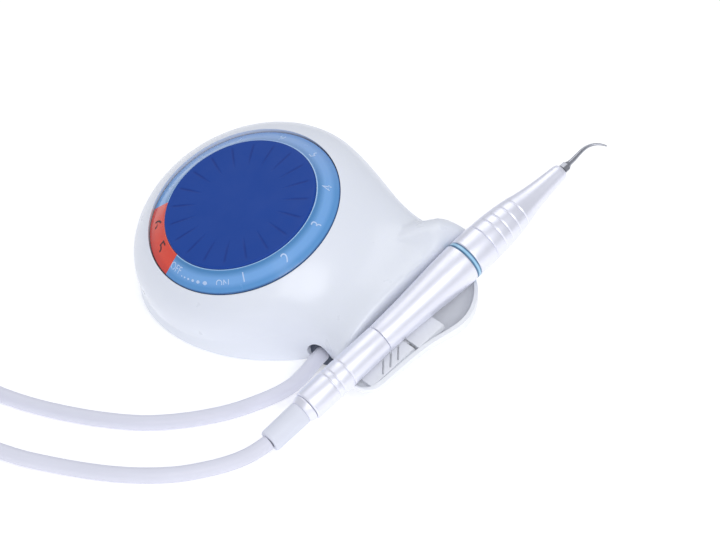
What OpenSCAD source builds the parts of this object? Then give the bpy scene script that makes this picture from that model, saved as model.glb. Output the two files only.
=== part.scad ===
// Desktop ultrasonic scaler: drop-shaped base with a tilted dial, a cradle on its tail,
// and a pen handpiece on one hose. +Z is up, the user sits on the -Y side.
// The origin is under the middle of the set, on the table top.

/* [Housing] */
// Height of the dial's centre above the table
dial_h = 47; // [45:0.5:50]
// How far the dial leans towards the user, in degrees
dial_tilt = 24; // [22:0.5:26]
// Largest radius of the round lobe
lobe_r = 57; // [55:0.5:60]
// Wall thickness of the mouldings
wall = 2.4; // [2:0.1:3]
// Height of the seam between the upper housing and the base plate
seam_z = 5; // [4.5:0.5:6]

/* [Dial] */
// Outer radius of the scale ring
ring_r = 44; // [43:0.5:44.5]
// Radius of the blue disc
disc_r = 35; // [34:0.5:35.5]
// Rise of the disc's rim over the ring's outer edge
ring_rise = 5; // [4:0.5:6]
// Number of radial grooves in the disc
groove_count = 20; // [12:1:24]

/* [Cradle] */
// Distance from the dial's centre to the handpiece axis, along X
hand_x = 90; // [89:0.5:92]
// Thickness of the cradle's walls
cradle_wall = 2.2; // [2:0.1:2.6]

/* [Handpiece] */
// Slope of the handpiece in the cradle, in degrees
hand_slope = 20.5; // [19:0.5:22]
// Height of the connector sleeve's rear end
hand_z = 14; // [13.5:0.5:16]
// Largest radius of the barrel
barrel_r = 9.3; // [9:0.1:9.6]

/* [Hose] */
// Outer diameter of the handpiece hose
hose_d = 6.6; // [6:0.1:7]

/* [Hidden] */

$fn = 72;
// Where the dial's centre stands, seen from above
dial_x = -24.5;
dial_y = -31.5;
hand_y = -40;

// ---- outer form of the base, as one smooth field that is negative inside ----
lobe_mid = -20.5;
lobe_top = 28;
lobe_bottom = 63;
lobe_shift = [-2, 1.2];
lobe_lean = 0.48;
form_power = 2.6;
tail_mid = [79, 16, -29];
tail_half = [63, 35, 16, 12];
tail_end = 80;
tail_flare = [8, 55, 2];
blend_reach = 21;
// Swelling at the tail's rear corner, behind the handpiece
lug_mid = [71.5, 48, 47.5];
lug_half = [8, 9, 8.7];
edge_reach = 5;
form_heart = [28, 14, 26];
around = 80;
// Seam points crowd towards the tail, where the form is farthest from its heart
crowd = 22;

function to_tilt(p) =
    let (y = p[1], z = p[2] - dial_h)
    [p[0], y * cos(dial_tilt) + z * sin(dial_tilt), z * cos(dial_tilt) - y * sin(dial_tilt)];

function from_tilt(q) = [
    q[0],
    q[1] * cos(dial_tilt) - q[2] * sin(dial_tilt),
    dial_h + q[1] * sin(dial_tilt) + q[2] * cos(dial_tilt)
];

function lobe_field(q) =
    let (
        half = q[2] > lobe_mid ? lobe_top : lobe_bottom,
        v = q[1] - lobe_shift[1] - lobe_lean * min(q[2] - lobe_mid, 0),
        flat = norm([q[0] - lobe_shift[0], v]) / lobe_r,
        deep = abs(q[2] - lobe_mid) / half
    )
    (pow(pow(flat, form_power) + pow(deep, form_power), 1 / form_power) - 1) * lobe_r * 0.8;

function tail_field(q) =
    let (
        flare = pow(max(0, (q[0] - tail_flare[1]) / (tail_end - tail_flare[1])), 2),
        wide = tail_half[1] + tail_flare[0] * flare,
        deep = q[2] > tail_mid[2] ? tail_half[2] + tail_flare[2] * flare : tail_half[3],
        sum = pow(abs(q[0] - tail_mid[0]) / tail_half[0], form_power)
            + pow(abs(q[1] - tail_mid[1]) / wide, form_power)
            + pow(abs(q[2] - tail_mid[2]) / deep, form_power)
    )
    (pow(sum, 1 / form_power) - 1) * tail_half[1] * 0.8;

function smooth_min(a, b, k) =
    let (h = min(1, max(0, 0.5 + 0.5 * (b - a) / k)))
    b * (1 - h) + a * h - k * h * (1 - h);

function lug_field(p) =
    let (d = p - lug_mid)
    (norm([d[0] / lug_half[0], d[1] / lug_half[1], d[2] / lug_half[2]]) - 1) * lug_half[1];

function form_field(p) =
    let (q = to_tilt(p), body = smooth_min(lobe_field(q), tail_field(q), blend_reach))
    -smooth_min(-smooth_min(body, lug_field(p), 9), tail_end - p[0], edge_reach);

function reach(from, along, near, far, steps = 16) =
    let (mid = (near + far) / 2)
    steps == 0 ? near
        : form_field(from + along * mid) < 0 ? reach(from, along, mid, far, steps - 1)
        : reach(from, along, near, mid, steps - 1);

function unit(v) = v / norm(v);

function slope_at(p) =
    let (e = 0.05, f = form_field(p))
    unit([
        form_field(p + [e, 0, 0]) - f,
        form_field(p + [0, e, 0]) - f,
        form_field(p + [0, 0, e]) - f
    ]);

// A point of the form at one height, and the same point moved inwards by a wall
function level_point(angle, z, inset = 0) =
    let (
        from = [form_heart[0], form_heart[1], z],
        along = [cos(angle), sin(angle), 0],
        far = reach(from, along, 0, 110),
        face = slope_at(from + along * far)
    )
    from + along * (far - inset / max(0.4, along * face));

// A point of the round opening over the dial, on the form's crest
function rim_point(angle, radius, inset = 0) =
    let (
        low = from_tilt([radius * cos(angle), radius * sin(angle), -12]),
        up = from_tilt([radius * cos(angle), radius * sin(angle), -11]) - low
    )
    low + up * (reach(low, up, 0, 30) - inset);

function ray_point(along, inset = 0) =
    let (far = reach(form_heart, along, 0, 110), face = slope_at(form_heart + along * far))
    form_heart + along * (far - inset / max(0.4, along * face));

// Ring number k of rings, from the seam up to the dial's opening
function shell_ring(k, rings, rim, inset) = [
    for (i = [0 : around - 1])
        let (
            turn = i * 360 / around,
            angle = turn - crowd * sin(turn)
        )
        k == 0 ? level_point(angle, seam_z, inset)
            : k == rings ? rim_point(turn, rim, inset)
            : ray_point(unit(unit(level_point(angle, seam_z) - form_heart) * (1 - k / rings)
                + unit(rim_point(turn, rim) - form_heart) * k / rings), inset)
];

// Faces of a tube of rings; a closed loop of rings joins its last ring to its first
function ring_faces(rings, loop = false) = [
    for (k = [0 : rings - (loop ? 1 : 2)], i = [0 : around - 1])
        let (
            a = k * around + i,
            b = k * around + (i + 1) % around,
            c = ((k + 1) % rings) * around + (i + 1) % around,
            d = ((k + 1) % rings) * around + i
        )
        each [[a, c, b], [a, d, c]]
];

module at_base() {
    translate([dial_x, dial_y, 0])
        children();
}

module at_dial() {
    translate([dial_x, dial_y, dial_h])
        rotate([dial_tilt, 0, 0])
            children();
}

// +Z runs from the hose end to the tip, -Y is the side away from the cradle
module at_hand() {
    translate([dial_x + hand_x, dial_y + hand_y, hand_z])
        rotate([hand_slope - 90, 0, 0])
            children();
}

module bar(r, z0, z1, bore = 0) {
    difference() {
        translate([0, 0, z0])
            cylinder(r = r, h = z1 - z0);
        if (bore > 0)
            translate([0, 0, z0 - 1])
                cylinder(r = bore, h = z1 - z0 + 2);
    }
}

module block(low, high) {
    translate(low)
        cube(high - low);
}

// ---- base unit ----
opening_r = 44.5;
outer_rings = 24;
inner_rings = 12;
post_spots = [[-34, -18], [-34, 26], [22, -24], [36.5, 22.5]];
panel_low = [-32, 9];
panel_high = [20, 27];
gland_spot = [61.5, -8.5, 8];
gland_turn = -72;
gland_r = 6.2;

module gland_axis() {
    translate(gland_spot)
        rotate([0, 0, gland_turn])
            rotate([0, 90, 0])
                children();
}

module housing_form() {
    outside = [for (k = [0 : outer_rings]) each shell_ring(k, outer_rings, opening_r, 0)];
    inside = [
        for (k = [inner_rings : -1 : 0]) each shell_ring(k, inner_rings, opening_r, wall)
    ];
    polyhedron(
        points = concat(outside, inside),
        faces = ring_faces(outer_rings + inner_rings + 2, loop = true)
    );
}

module upper_housing() {
    color([0.93, 0.94, 0.97])
        at_base() {
            difference() {
                housing_form();
                block([panel_low[0] - 0.1, 40, panel_low[1] - 0.1],
                    [panel_high[0] + 0.1, 70, panel_high[1] + 0.1]);
                gland_axis()
                    cylinder(r = gland_r + 0.1, h = 40, center = true);
                on_tail_screws()
                    cylinder(r = 1.6, h = 10, center = true);
            }
        }
}

// +Z runs out of the tail's end face, at each of the cradle's two screws
module on_tail_screws() {
    for (y = [6, 34])
        translate([tail_end, y, 20 + 0.37 * y])
            rotate([0, 90, 0])
                children();
}

module base_plate() {
    heights = [1.2, 2.6, seam_z - 0.1];
    outside = [
        for (z = heights) each [for (i = [0 : around - 1]) level_point(i * 360 / around, z, 0.1)]
    ];
    inside = [
        for (z = [seam_z - 0.1, 3.2])
            each [for (i = [0 : around - 1]) level_point(i * 360 / around, z, wall)]
    ];
    caps = [
        [for (i = [around - 1 : -1 : 0]) i],
        [for (i = [0 : around - 1]) 4 * around + i]
    ];
    color([0.93, 0.94, 0.97])
        at_base()
            difference() {
                union() {
                    polyhedron(
                        points = concat(outside, inside),
                        faces = concat(
                            [for (f = ring_faces(5)) [f[2], f[1], f[0]]],
                            [for (c = caps) [for (j = [len(c) - 1 : -1 : 0]) c[j]]]
                        )
                    );
                    for (p = board_spots)
                        translate([p[0], p[1], 3])
                            cylinder(r = 2.6, h = board_z - 3);
                }
                for (p = post_spots)
                    translate([p[0], p[1], 0])
                        cylinder(r = 1.7, h = 6);
                for (p = board_spots)
                    translate([p[0], p[1], 4.2])
                        cylinder(r = 1.1, h = 8);
                gland_axis()
                    block([-gland_r, -gland_r - 0.1, -7], [20, gland_r + 0.1, 30]);
            }
}

module rubber_feet() {
    color([0.25, 0.26, 0.28])
        at_base()
            for (p = [[-44, 4], [-12, -32], [36, -16], [30, 30], [-16, 40]])
                translate([p[0], p[1], 0])
                    cylinder(r = 4.5, h = 1.2);
}

module housing_screws() {
    color("silver")
        at_base()
            for (p = post_spots)
                translate([p[0], p[1], 0.6]) {
                    cylinder(r = 2.6, h = 0.6);
                    cylinder(r = 1.5, h = 9);
                }
}

// Posts from the base plate up to the floor of the dial well, tapped for the housing screws
module well_pillars() {
    color([0.80, 0.82, 0.86])
        at_base()
            for (p = post_spots) {
                top = well_under(p);
                difference() {
                    translate([p[0], p[1], 3.2])
                        cylinder(r = 3.4, h = top - 3.2 - 0.1);
                    translate([p[0], p[1], 3])
                        cylinder(r = 1.52, h = 7);
                }
            }
}

well_floor = -8;
well_floor_t = 2;
// The well's rim stops short of the underside of the housing's wall
well_top = -5.3;
// Lowest height of the well's underside over a post of radius 3.4
function well_under(p) =
    dial_h + (p[1] - 3.4) * tan(dial_tilt) + (well_floor - well_floor_t) / cos(dial_tilt);

module dial_well() {
    color([0.93, 0.94, 0.97])
        at_dial()
            difference() {
                bar(ring_r + 1.9, well_floor - well_floor_t, well_top);
                translate([0, 0, well_floor])
                    cylinder(r = ring_r + 0.6, h = 20);
                cylinder(r = 4.8, h = 60, center = true);
            }
}

// ---- dial, turning about its own normal ----
red_from = 211;
red_span = 52.5;

module ring_profile() {
    polygon([
        [ring_r - 0.4, -1.4], [ring_r, -1], [ring_r, -0.3], [ring_r - 0.3, 0],
        [disc_r + 0.7, ring_rise - 0.1], [disc_r + 0.1, ring_rise], [disc_r + 0.1, 3.2],
        [ring_r - 2.4, -1.4]
    ]);
}

module ring_sector(from, span) {
    at_dial()
        rotate([0, 0, from])
            rotate_extrude(angle = span)
                ring_profile();
}

module dial_ring() {
    color([0.50, 0.71, 0.90, 0.9])
        ring_sector(red_from + red_span, 360 - red_span);
}

module red_zone() {
    color([0.80, 0.27, 0.26])
        ring_sector(red_from, red_span);
}

module dial_disc() {
    color([0.10, 0.25, 0.60])
        at_dial()
            difference() {
                rotate_extrude()
                    polygon([
                        [0, 3.2], [disc_r, 3.2], [disc_r, 5.2], [disc_r - 0.7, 5.9],
                        [26, 6.3], [0, 6.5]
                    ]);
                for (i = [0 : groove_count - 1])
                    rotate([0, 0, i * 360 / groove_count])
                        block([20, -0.5, 5.7], [30, 0.5, 8]);
            }
}

module dial_hub() {
    color([0.30, 0.32, 0.36])
        at_dial()
            rotate_extrude()
                polygon([
                    [3.05, -3.6], [6.5, -3.6], [6.5, 1.4], [disc_r - 1, 1.4], [disc_r + 4.6, -1.2],
                    [disc_r + 4.6, -0.1], [disc_r, 3.15], [0, 3.15], [0, 1.7], [3.05, 1.7]
                ]);
}

module pot_shaft() {
    color("silver")
        at_dial()
            bar(3, -17, 1.6);
}

module pot_bushing() {
    color([0.75, 0.66, 0.42])
        at_dial()
            bar(4.75, -10, -4, bore = 3.05);
}

module bushing_nut() {
    color("silver")
        at_dial()
            difference() {
                translate([0, 0, well_floor])
                    cylinder(r = 7, h = 2.4, $fn = 6);
                cylinder(r = 4.8, h = 40, center = true);
            }
}

module potentiometer() {
    color([0.20, 0.22, 0.24])
        at_dial()
            difference() {
                union() {
                    bar(11.5, -19, -10);
                    block([-8, -16, -14], [8, 0, -12.4]);
                }
                translate([0, 0, -17.4])
                    cylinder(r = 3.2, h = 10);
            }
}

// ---- electronics and water ----
board_z = 8;
board_spots = [[-26, -14], [-26, 18], [12, -14], [12, 18]];

module control_board() {
    color([0.10, 0.42, 0.24])
        at_base()
            difference() {
                block([-30, -18, board_z], [16, 22, board_z + 1.6]);
                for (p = board_spots)
                    translate([p[0], p[1], board_z - 1])
                        cylinder(r = 1.3, h = 4);
            }
}

module board_screws() {
    color("silver")
        at_base()
            for (p = board_spots)
                translate([p[0], p[1], 0]) {
                    translate([0, 0, 4.4])
                        cylinder(r = 1.05, h = board_z + 1.6 - 4.4);
                    translate([0, 0, board_z + 1.6])
                        cylinder(r = 2.2, h = 1.4);
                }
}

module output_transformer() {
    top = board_z + 1.6;
    color([0.55, 0.36, 0.16])
        at_base() {
            block([-20, -6, top], [-4, 10, top + 3]);
            translate([-12, 2, top + 3])
                cylinder(r = 6.5, h = 7);
            block([-20, -6, top + 10], [-4, 10, top + 12]);
        }
}

module heat_sink() {
    top = board_z + 1.6;
    color([0.62, 0.64, 0.68])
        at_base() {
            block([0, 12, top], [9, 14, top + 14]);
            for (x = [0 : 2.3 : 7])
                block([x, 4, top], [x + 1.2, 12, top + 14]);
        }
}

module capacitors() {
    color([0.16, 0.20, 0.34])
        at_base()
            for (x = [-18, -9, 0])
                translate([x, -12, board_z + 1.6])
                    cylinder(r = 3.6, h = 8);
}

module water_valve() {
    color([0.86, 0.84, 0.78])
        at_base()
            difference() {
                union() {
                    block([20, 2, 3.2], [38, 18, 13]);
                    translate([29, 18, 8])
                        rotate([-90, 0, 0])
                            cylinder(r = 2.2, h = 5);
                    translate([38, 8, 8])
                        rotate([0, 90, 0])
                            cylinder(r = 2.2, h = 5);
                }
                translate([29, 12, 8])
                    rotate([-90, 0, 0])
                        cylinder(r = 1.1, h = 20);
                translate([32, 8, 8])
                    rotate([0, 90, 0])
                        cylinder(r = 1.1, h = 20);
            }
}

module valve_coil() {
    color([0.20, 0.22, 0.24])
        at_base()
            translate([29, 10, 13])
                cylinder(r = 7, h = 14);
}

// Clear inner lines: inlet to flow valve, on to the solenoid valve, on to the hose gland
supply_line = [[2, 43.2, 15], [2, 40.5, 15], [1.2, 37.8, 15.8], [0.8, 37, 18], [2.3, 37, 20], [4.2, 37, 20]];
middle_line = [
    [13, 37, 10.7], [13, 36.6, 9.3], [14.5, 34, 8], [18, 30, 8], [23, 27.5, 8], [27, 26.8, 8],
    [28.8, 25.4, 8], [29, 23.1, 8]
];
outlet_line = [
    [43.1, 8, 8], [47.5, 8, 8], [51.5, 7.2, 8], [55.2, 5, 8], [57.8, 1.6, 8], [58.9, -0.6, 8],
    [59.25, -1.6, 8]
];

module water_tubes() {
    color([0.80, 0.86, 0.92])
        at_base() {
            for (line = [supply_line, middle_line, outlet_line])
                swept_tube(smooth_route(line, 3), 1.9, 8);
        }
}

jack_z = 18;
jack_face = 45.8;
inlet_x = 2;
inlet_z = 15;

module rear_panel() {
    thick = 1.6;
    color([0.82, 0.84, 0.88])
        at_base()
            difference() {
                intersection() {
                    block([panel_low[0], 43.4, panel_low[1]], [panel_high[0], 60, panel_high[1]]);
                    panel_form();
                }
                block([panel_low[0] + thick, jack_face, panel_low[1] + thick],
                    [panel_high[0] - thick, 70, panel_high[1] - thick]);
                for (x = [-24, -11])
                    on_panel(x)
                        cylinder(r = 4.05, h = 20, center = true);
                translate([inlet_x, jack_face, inlet_z])
                    rotate([-90, 0, 0])
                        cylinder(r = 3.1, h = 20, center = true);
                on_panel(13)
                    cylinder(r = 3.05, h = 20, center = true);
            }
}

// The back of the form as a closed slab, to trim the panel's frame flush with the wall
module panel_form() {
    xs = [for (x = [-32 : 4 : 20]) x];
    zs = [for (z = [9 : 3 : 27]) z];
    cols = len(xs);
    rows = len(zs);
    back = [
        for (z = zs, x = xs)
            [x, 30 + reach([x, 30, z], [0, 1, 0], 0, 45) - 0.1, z]
    ];
    front = [for (z = zs, x = xs) [x, 40, z]];
    count = cols * rows;
    polyhedron(
        points = concat(back, front),
        faces = concat(
            [
                for (r = [0 : rows - 2], c = [0 : cols - 2])
                    let (a = r * cols + c)
                    each [
                        [a, a + 1, a + cols + 1], [a, a + cols + 1, a + cols],
                        [count + a, count + a + cols + 1, count + a + 1],
                        [count + a, count + a + cols, count + a + cols + 1]
                    ]
            ],
            [
                for (c = [0 : cols - 2], r = [0, rows - 1])
                    let (a = r * cols + c, flip = r == 0)
                    each flip
                        ? [[a, count + a, count + a + 1], [a, count + a + 1, a + 1]]
                        : [[a, count + a + 1, count + a], [a, a + 1, count + a + 1]]
            ],
            [
                for (r = [0 : rows - 2], c = [0, cols - 1])
                    let (a = r * cols + c, flip = c == 0)
                    each flip
                        ? [[a, count + a + cols, count + a], [a, a + cols, count + a + cols]]
                        : [[a, count + a, count + a + cols], [a, count + a + cols, a + cols]]
            ]
        )
    );
}

module on_panel(x) {
    translate([x, jack_face, jack_z])
        rotate([-90, 0, 0])
            children();
}

module power_jack() {
    color([0.12, 0.13, 0.15])
        at_base()
            on_panel(-24) {
                difference() {
                    union() {
                        bar(4, -14, 0);
                        bar(5, 0, 1);
                    }
                    translate([0, 0, -9])
                        cylinder(r = 2.75, h = 20);
                }
                bar(1, -9.5, -0.5);
            }
}

module footswitch_jack() {
    color([0.12, 0.13, 0.15])
        at_base()
            on_panel(-11)
                difference() {
                    union() {
                        bar(4, -14, 0);
                        bar(5, 0, 1);
                    }
                    translate([0, 0, -12])
                        cylinder(r = 1.8, h = 20);
                }
}

module water_inlet() {
    color([0.80, 0.68, 0.40])
        at_base()
            translate([inlet_x, jack_face, inlet_z])
                rotate([-90, 0, 0])
                    difference() {
                        union() {
                            bar(3, -2.4, 0);
                            bar(4, 0, 1.6);
                            bar(3, 1.6, 11.6);
                        }
                        cylinder(r = 1.4, h = 40, center = true);
                    }
}

// Needle valve behind the panel that sets how much water reaches the tip
module flow_valve() {
    color([0.75, 0.66, 0.42])
        at_base()
            on_panel(13)
                difference() {
                    union() {
                        bar(5.5, -13, -2.5);
                        translate([0, 0, -8.8])
                            rotate([-90, 0, 0])
                                cylinder(r = 2, h = 6.6);
                        translate([-8.5, -2, -8.8])
                            rotate([0, 90, 0])
                                cylinder(r = 2, h = 6);
                    }
                    translate([0, 0, -9])
                        cylinder(r = 3.1, h = 20);
                }
}

module water_knob() {
    color([0.10, 0.25, 0.60])
        at_base()
            on_panel(13)
                difference() {
                    bar(4.8, 1.2, 9);
                    for (i = [0 : 11])
                        rotate([0, 0, i * 30])
                            translate([5, 0, 0])
                                cylinder(r = 0.6, h = 20);
                }
}

module needle_stem() {
    color("silver")
        at_base()
            on_panel(13)
                bar(3, -8, 1.2);
}

// Set back in its port, so that the hose leaves from a dark recess
module hose_gland() {
    color([0.30, 0.33, 0.40])
        at_base()
            gland_axis()
                difference() {
                    union() {
                        bar(gland_r, -6, -1.6);
                        bar(4.6, -7, -1);
                    }
                    cylinder(r = hose_d / 2 - 0.9, h = 40, center = true);
                }
}

// ---- cradle on the tail's end face ----
tray_start = 20.5;
tray_end = 96;
tray_steps = 24;
tray_ribs = 10;

// Half-width towards +X and depth of the tray at a place u along it, 0 to 1
function tray_bulge(u) = exp(-pow((u - 0.72) / 0.2, 2));
// The front end is blunt, the rear end runs out in a long curve
function tray_ends(u) = pow(1 - pow(abs(2 * u - 1), u < 0.5 ? 16 : 4), 0.5);
function tray_near(u) = -7 + (20 + 4.5 * tray_bulge(u)) * tray_ends(u);
function tray_deep(u) = (7 + 3 * tray_bulge(u)) * tray_ends(u);

// One cross-section, from the tail's face round under the handpiece to the near lip
function tray_section(u, inset) = [
    for (j = [0 : tray_ribs])
        let (
            a = 180 * j / tray_ribs,
            near = tray_near(u) - inset,
            mid = (near - 9.8 + inset) / 2,
            half = max(0.6, (near + 9.8 - inset) / 2),
            deep = max(0.4, tray_deep(u) - inset),
            across = a < 90 ? pow(cos(a), 0.35) : -pow(-cos(a), 0.9)
        )
        [mid - half * across, tray_rim(u) + deep * pow(sin(a), 0.75), 0]
];
function tray_rim(u) = 6.5 + 3.2 * u;

module tray_form(inset) {
    us = [for (k = [0 : tray_steps]) (1 - cos(180 * k / tray_steps)) / 2];
    width = tray_ribs + 1;
    shrink = inset / (tray_end - tray_start);
    points = [
        for (u = us)
            let (v = shrink + u * (1 - 2 * shrink))
            each [
                for (p = tray_section(v, inset))
                    [p[0], p[1], tray_start + v * (tray_end - tray_start)]
            ]
    ];
    polyhedron(
        points = points,
        faces = concat(
            [
                for (k = [0 : tray_steps - 1], j = [0 : tray_ribs - 1])
                    let (a = k * width + j, b = a + width)
                    each [[a, a + 1, b + 1], [a, b + 1, b]]
            ],
            [
                for (k = [0 : tray_steps - 1])
                    let (a = k * width, b = a + tray_ribs, c = a + width, d = b + width)
                    each [[a, c, d], [a, d, b]]
            ],
            [
                [for (j = [tray_ribs : -1 : 0]) j],
                [for (j = [0 : tray_ribs]) tray_steps * width + j]
            ]
        )
    );
}

module cradle_tray() {
    color([0.93, 0.94, 0.97])
        at_hand()
            difference() {
                tray_form(0);
                translate([0, -0.6, 0])
                    tray_form(cradle_wall);
                bar(7.45, tray_start - 1, tray_start + 5);
                for (t = [46, 75.8])
                    translate([-10, 8.45, t])
                        rotate([0, 90, 0])
                            cylinder(r = 1.6, h = 3);
            }
}

// Slanted slits across the insert's front pad: place along the handpiece
insert_slits = [38.5, 43, 47.5];

module cradle_insert() {
    color([0.90, 0.91, 0.95])
        at_hand()
            difference() {
                union() {
                    block([-5, 7.8, 26], [9.6, 10.4, 50.6]);
                    block([-5, 8.2, 52.2], [11, 10.8, 67]);
                    block([-4, 10.2, 26], [4, 11.4, 67]);
                }
                for (t = insert_slits)
                    translate([2.5, 6, t])
                        rotate([0, 45, 0])
                            cube([8, 3.6, 0.9]);
                translate([0, 0, 20])
                    cylinder(r1 = 7.4, r2 = 8.5, h = 50);
            }
}

module cradle_screws() {
    color("silver")
        at_base()
            on_tail_screws() {
                bar(1.5, -wall - 0.6, 2);
                bar(2.7, -wall - 2.2, -wall - 0.6);
            }
}

// ---- handpiece and its connector ----
joint_t = 42.3;
light_t = 92;
nose_t = 104.6;
nose_end = 153.6;

module hose_boot() {
    color([0.85, 0.87, 0.91])
        at_hand()
            rotate_extrude()
                polygon([
                    [2.4, -21.8], [4.6, -21.8], [4.9, -21.2], [5.2, -3.6], [2.4, -3.6]
                ]);
}

module boot_collar() {
    color([0.75, 0.78, 0.84])
        at_hand()
            rotate_extrude()
                polygon([[2.4, -3.6], [5.3, -3.6], [6.3, -0.8], [6.3, 0], [2.4, 0]]);
}

module connector_sleeve() {
    color([0.80, 0.82, 0.88])
        at_hand()
            rotate_extrude()
                polygon([
                    [5.2, 0], [6.5, 0], [6.9, 0.6], [7.0, 12.5], [6.7, 12.9], [7.0, 13.3],
                    [7.0, 15.3], [6.7, 15.7], [7.0, 16.1], [7.0, 21.1], [6.7, 21.5], [6.95, 21.9],
                    [6.7, joint_t - 0.3], [6.5, joint_t], [5.2, joint_t]
                ]);
}

module connector_core() {
    color([0.25, 0.27, 0.30])
        at_hand()
            difference() {
                union() {
                    bar(5.15, 24, joint_t);
                    bar(4.3, joint_t, joint_t + 12);
                }
                for (t = [joint_t + 3, joint_t + 8])
                    translate([0, 0, t])
                        difference() {
                            bar(6, 0, 1.6);
                            translate([0, 0, -1])
                                cylinder(r = 3.6, h = 4);
                        }
                translate([0, 0, 20])
                    cylinder(r = 1, h = 50);
            }
}

module plug_seals() {
    color([0.15, 0.16, 0.18])
        at_hand()
            for (t = [joint_t + 3, joint_t + 8])
                translate([0, 0, t + 0.8])
                    rotate_extrude()
                        translate([4.3, 0])
                            circle(r = 0.7, $fn = 24);
}

module contact_pins() {
    color("gold")
        at_hand()
            for (x = [-2.5, 2.5])
                translate([x, 0, joint_t + 12])
                    cylinder(r = 0.5, h = 3, $fn = 24);
}

module barrel() {
    color([0.82, 0.84, 0.90])
        at_hand()
            rotate_extrude()
                polygon([
                    [5.05, joint_t + 0.1], [6.4, joint_t + 0.1], [6.65, joint_t + 0.4], [7.1, 55],
                    [7.9, 68], [8.7, 80], [barrel_r - 0.1, light_t - 0.3], [barrel_r - 0.4, light_t],
                    [6.6, light_t], [6.6, 62], [5.05, 60]
                ]);
}

module light_ring() {
    color([0.45, 0.68, 0.86])
        at_hand()
            rotate_extrude()
                polygon([
                    [6.6, light_t], [barrel_r - 0.15, light_t], [barrel_r - 0.15, light_t + 2.4],
                    [6.6, light_t + 2.4]
                ]);
}

module front_sleeve() {
    color([0.82, 0.84, 0.90])
        at_hand()
            rotate_extrude()
                polygon([
                    [6.6, light_t + 2.4], [barrel_r - 0.2, light_t + 2.4],
                    [barrel_r, light_t + 2.8], [barrel_r, nose_t - 0.3],
                    [barrel_r - 0.3, nose_t], [6.6, nose_t]
                ]);
}

module nose_cap() {
    color([0.82, 0.84, 0.90])
        at_hand()
            rotate_extrude()
                polygon([
                    [6.6, nose_t], [9.0, nose_t], [9.1, nose_t + 0.3], [9.0, 109.8], [8.7, 110.2],
                    [8.9, 110.6], [8.7, 114.1], [8.4, 114.5], [8.6, 114.9], [8.2, 119.2],
                    [7.9, 119.6], [8.1, 120], [7.5, 124.4], [7.2, 124.8], [7.3, 125.2],
                    [6.5, 129], [5.7, 133], [5.0, 138], [4.45, 143], [4.0, 148], [3.75, 151.4],
                    [3.4, 152.8], [2.6, nose_end], [1.95, nose_end], [1.95, 140], [4.2, 122],
                    [6.6, 112]
                ]);
}

module back_mass() {
    color([0.60, 0.62, 0.66])
        at_hand()
            bar(5.2, 62.5, 72);
}

module piezo_stack() {
    color([0.88, 0.86, 0.80])
        at_hand()
            for (i = [0 : 3])
                bar(5.2, 72 + 3 * i, 74.7 + 3 * i, bore = 2.1);
}

module horn() {
    color([0.66, 0.68, 0.72])
        at_hand()
            rotate_extrude()
                polygon([
                    [0, 72], [2, 72], [2, 84], [5.4, 84], [5.4, 96], [4.2, 100], [3.6, 110],
                    [2.4, 124], [1.6, 140], [1.6, nose_end + 0.4], [0, nose_end + 0.4]
                ]);
}

module horn_seal() {
    color([0.75, 0.30, 0.20])
        at_hand()
            translate([0, 0, 90])
                rotate_extrude()
                    translate([6, 0])
                        circle(r = 0.6, $fn = 24);
}

module tip_nut() {
    color([0.62, 0.63, 0.66])
        at_hand()
            union() {
                translate([0, 0, nose_end + 0.5])
                    cylinder(r = 2.3, h = 2.6, $fn = 6);
                translate([0, 0, nose_end + 3.1])
                    cylinder(r1 = 1.9, r2 = 1.2, h = 1.6, $fn = 24);
            }
}

// The working end: a straight shank that arches over into a fine point
tip_turn = 20;
tip_route = [
    [0, 0, 158.3], [0, 0, 161], [-0.2, 0, 164], [-0.3, 0, 167], [0, 0, 169.5], [0.9, 0, 171.8],
    [2.4, 0, 173.8], [4.3, 0, 175.2], [5.9, 0, 175.9]
];

module scaler_tip() {
    color([0.62, 0.63, 0.66])
        at_hand()
            rotate([0, 0, tip_turn])
                swept_tube(smooth_route(tip_route, 3), 1.15, 10, end_r = 0.3);
}

// ---- hose ----
// Route points lie in the base's own frame, hand-laid on the table
hose_z = hose_d / 2 + 0.1;
coil_centre = [-47, -179];
coil_in_r = 24.5;
coil_out_r = 52.5;
coil_h = 2 * hose_d + 0.4;
base_route = [
    [61.22, -7.64, 8], [62.5, -11.6, 7.9], [64.3, -17, 7.2], [65.6, -22, 6.2], [66.2, -27, 5.1],
    [66.1, -32, 4.2], [65.4, -38, 3.6], [64.2, -45.5, hose_z], [62.3, -55, hose_z],
    [58.8, -65, hose_z], [52.5, -77.5, hose_z], [43.4, -90, hose_z], [31, -101, hose_z],
    [17, -110.6, hose_z], [2, -118.8, hose_z], [-14, -125, hose_z], [-30, -128.8, hose_z],
    [-47, -130.2, hose_z]
];
hand_route = [
    [90, -60.9, 6.2], [89.5, -66, 4.9], [88.5, -72.5, 3.8], [86.5, -80.5, hose_z],
    [83.4, -89, hose_z], [79, -98, hose_z], [72.5, -107, hose_z], [64, -116, hose_z],
    [54, -124.3, hose_z], [42, -132.6, hose_z], [29, -141, 3.9], [16, -148.6, 5.6],
    [8, -155.8, 7.4], [3.2, -164, 9.1], [1.1, -171.5, 9.9], [0.6, -179, 10]
];

function smooth_route(route, cuts) = [
    for (i = [0 : len(route) - 2], c = [0 : cuts - 1])
        let (
            p0 = route[max(i - 1, 0)],
            p1 = route[i],
            p2 = route[i + 1],
            p3 = route[min(i + 2, len(route) - 1)],
            s = c / cuts
        )
        0.5 * (2 * p1 + (p2 - p0) * s + (2 * p0 - 5 * p1 + 4 * p2 - p3) * s * s
            + (3 * p1 - p0 - 3 * p2 + p3) * s * s * s),
    route[len(route) - 1]
];

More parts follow.
